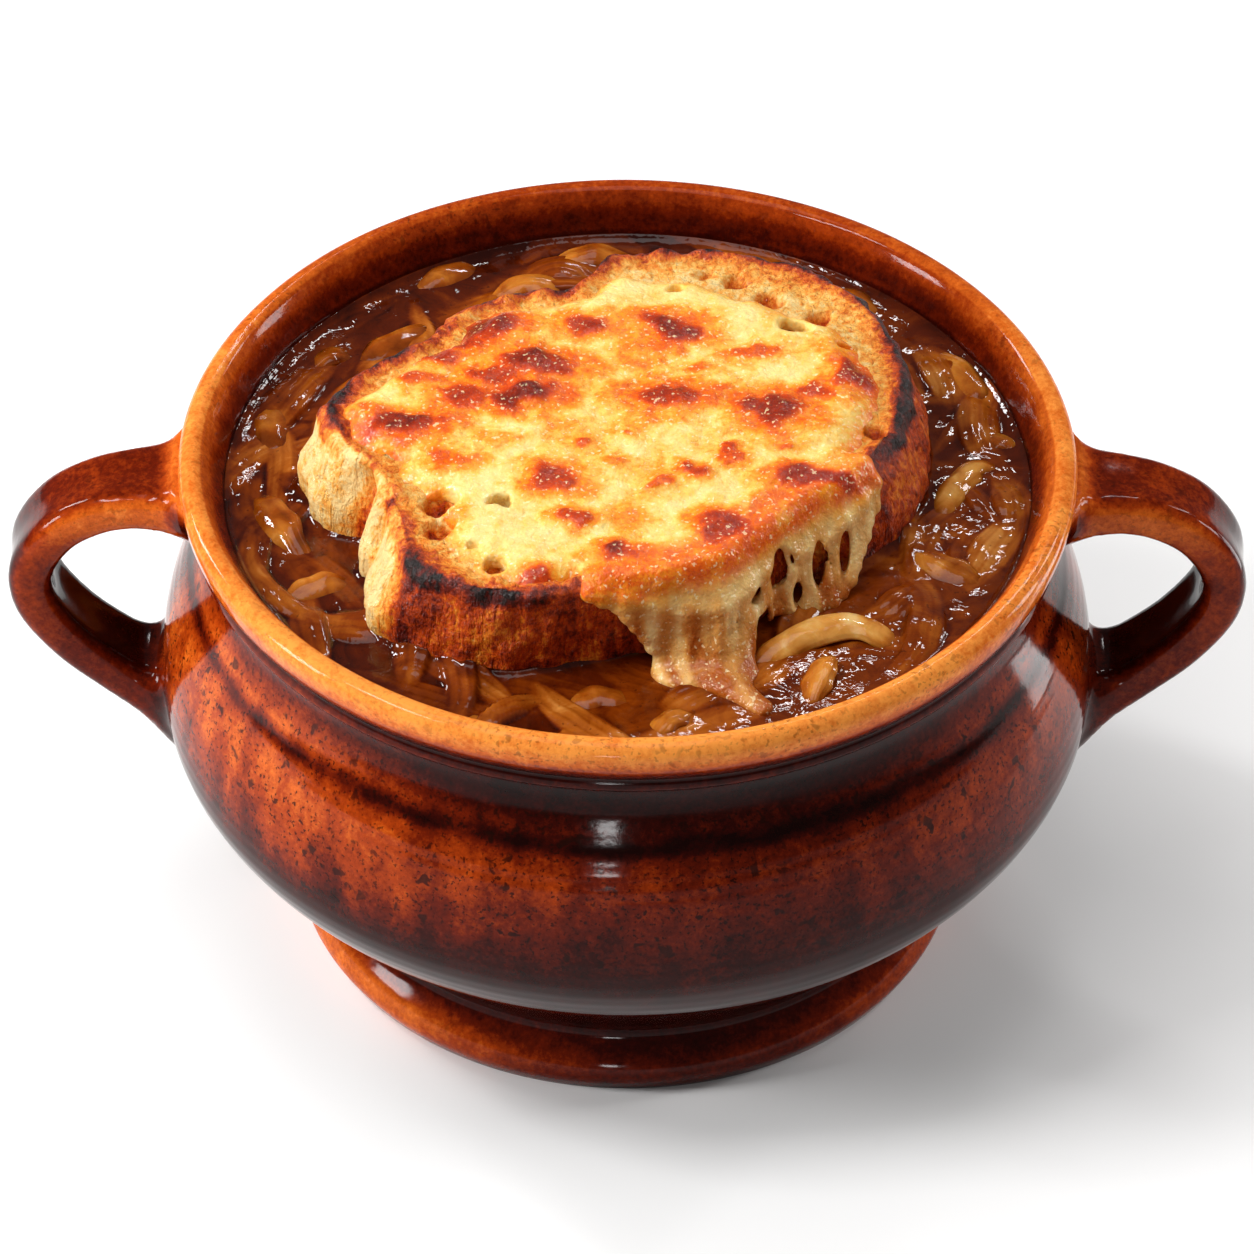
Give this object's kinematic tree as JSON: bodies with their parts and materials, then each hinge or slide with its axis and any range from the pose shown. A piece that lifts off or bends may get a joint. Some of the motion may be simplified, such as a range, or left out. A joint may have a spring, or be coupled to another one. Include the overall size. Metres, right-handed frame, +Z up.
{
  "type": "bowl of french onion soup",
  "caption": "French onion soup in a two-handled brown stoneware crock, with a slice of toast under browned melted cheese afloat among strips of soft onion.",
  "frame": {"origin": "centre of the crock's foot, at the height of the surface it stands on", "axes": "+Z up along the crock's axis, +X through the right-hand handle, -Y towards the side that the melted cheese runs down"},
  "size_m": [0.1732, 0.1314, 0.0884],
  "materials": {
    "glazed_stoneware": "glossy brown glaze, speckled with dark iron spots, paler and more orange on the rim",
    "broth": "dark amber-brown liquid, wet and glossy",
    "toast": "toasted crumb with a browned, in places charred crust",
    "cheese": "melted, softly shiny, pale gold with browned blisters",
    "onion": "soft cooked onion, wet and translucent-looking"
  },
  "bodies": {
    "root": {"crock": "glazed_stoneware", "soup": "broth", "bread": "toast", "melted_cheese": "cheese", "onion_arch": "onion", "onion_right_curl": "onion", "onion_right_low": "onion", "onion_upright": "onion", "onion_front_lens": "onion", "onion_front_point": "onion", "onion_front_long": "onion", "onion_front_small": "onion", "onion_left_pale": "onion", "onion_left_clump": "onion", "onion_left_tall": "onion", "onion_back_left": "onion", "onion_left_corner": "onion", "onion_back_one": "onion", "onion_back_two": "onion", "onion_back_three": "onion", "onion_right_back": "onion", "onion_right_long": "onion", "onion_right_short": "onion"}
  },
  "joints": []
}
